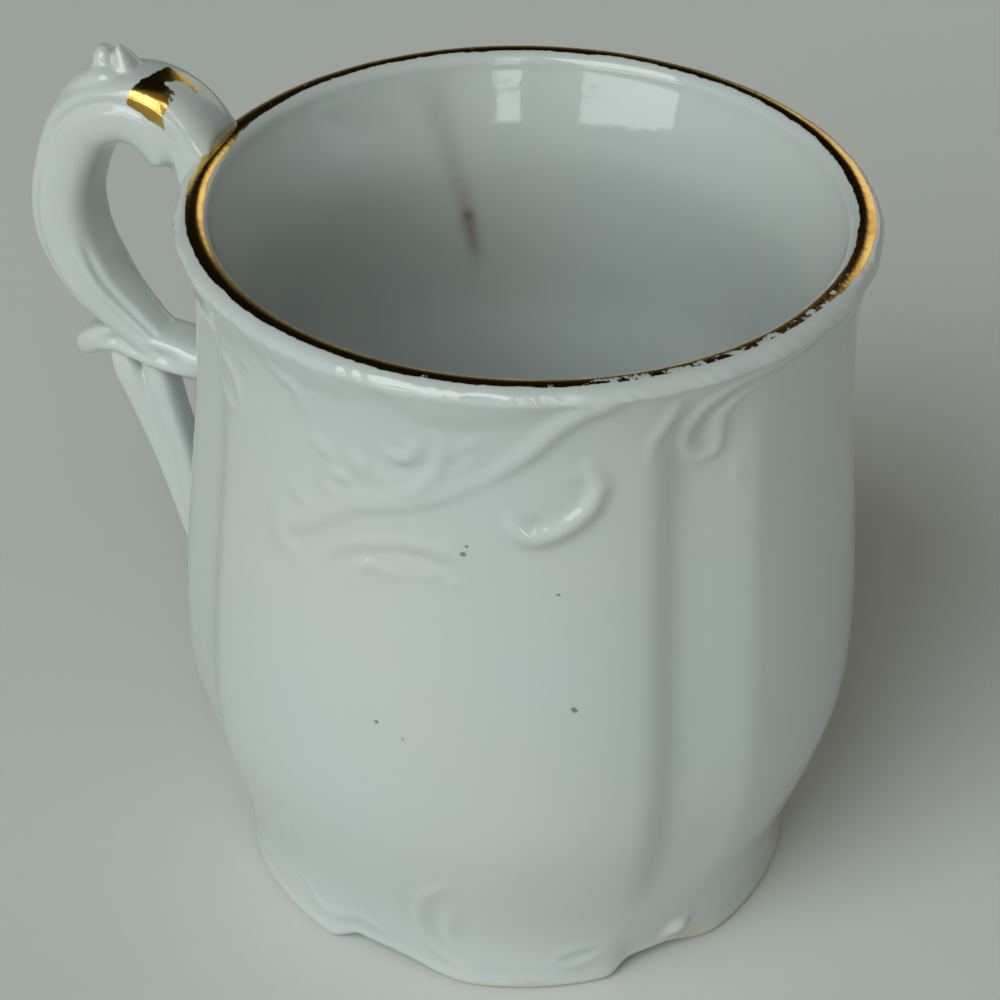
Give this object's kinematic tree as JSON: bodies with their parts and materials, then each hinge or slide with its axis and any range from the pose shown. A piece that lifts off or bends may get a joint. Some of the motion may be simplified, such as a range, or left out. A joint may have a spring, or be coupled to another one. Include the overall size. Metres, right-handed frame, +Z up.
{
  "type": "espresso cup",
  "caption": "Small footed porcelain cup for coffee, with shallow flutes, raised rococo scrolls, a scalloped foot, an ear-shaped handle and a gilt lip line.",
  "frame": {"origin": "on the cup's axis, on the plane of the table that the foot stands on", "axes": "+Z up along the cup's axis, the handle points to -X, +Y to the back panel"},
  "size_m": [0.0731, 0.0576, 0.0706],
  "materials": {
    "porcelain": "clear gloss glaze over white porcelain",
    "gilding": "burnished gold, worn in places"
  },
  "bodies": {
    "root": {"cup_body": "porcelain", "foot": "porcelain", "lip_gilding": "gilding", "handle_loop": "porcelain", "handle_tail": "porcelain", "knuckle_leaf": "porcelain", "thumb_rest": "porcelain", "handle_gilding": "gilding", "front_scrolls": "porcelain", "front_shell": "porcelain", "back_scrolls": "porcelain", "back_shell": "porcelain", "flute_hooks": "porcelain", "flute_leaves": "porcelain", "foot_scrolls": "porcelain", "foot_beads": "porcelain"}
  },
  "joints": []
}
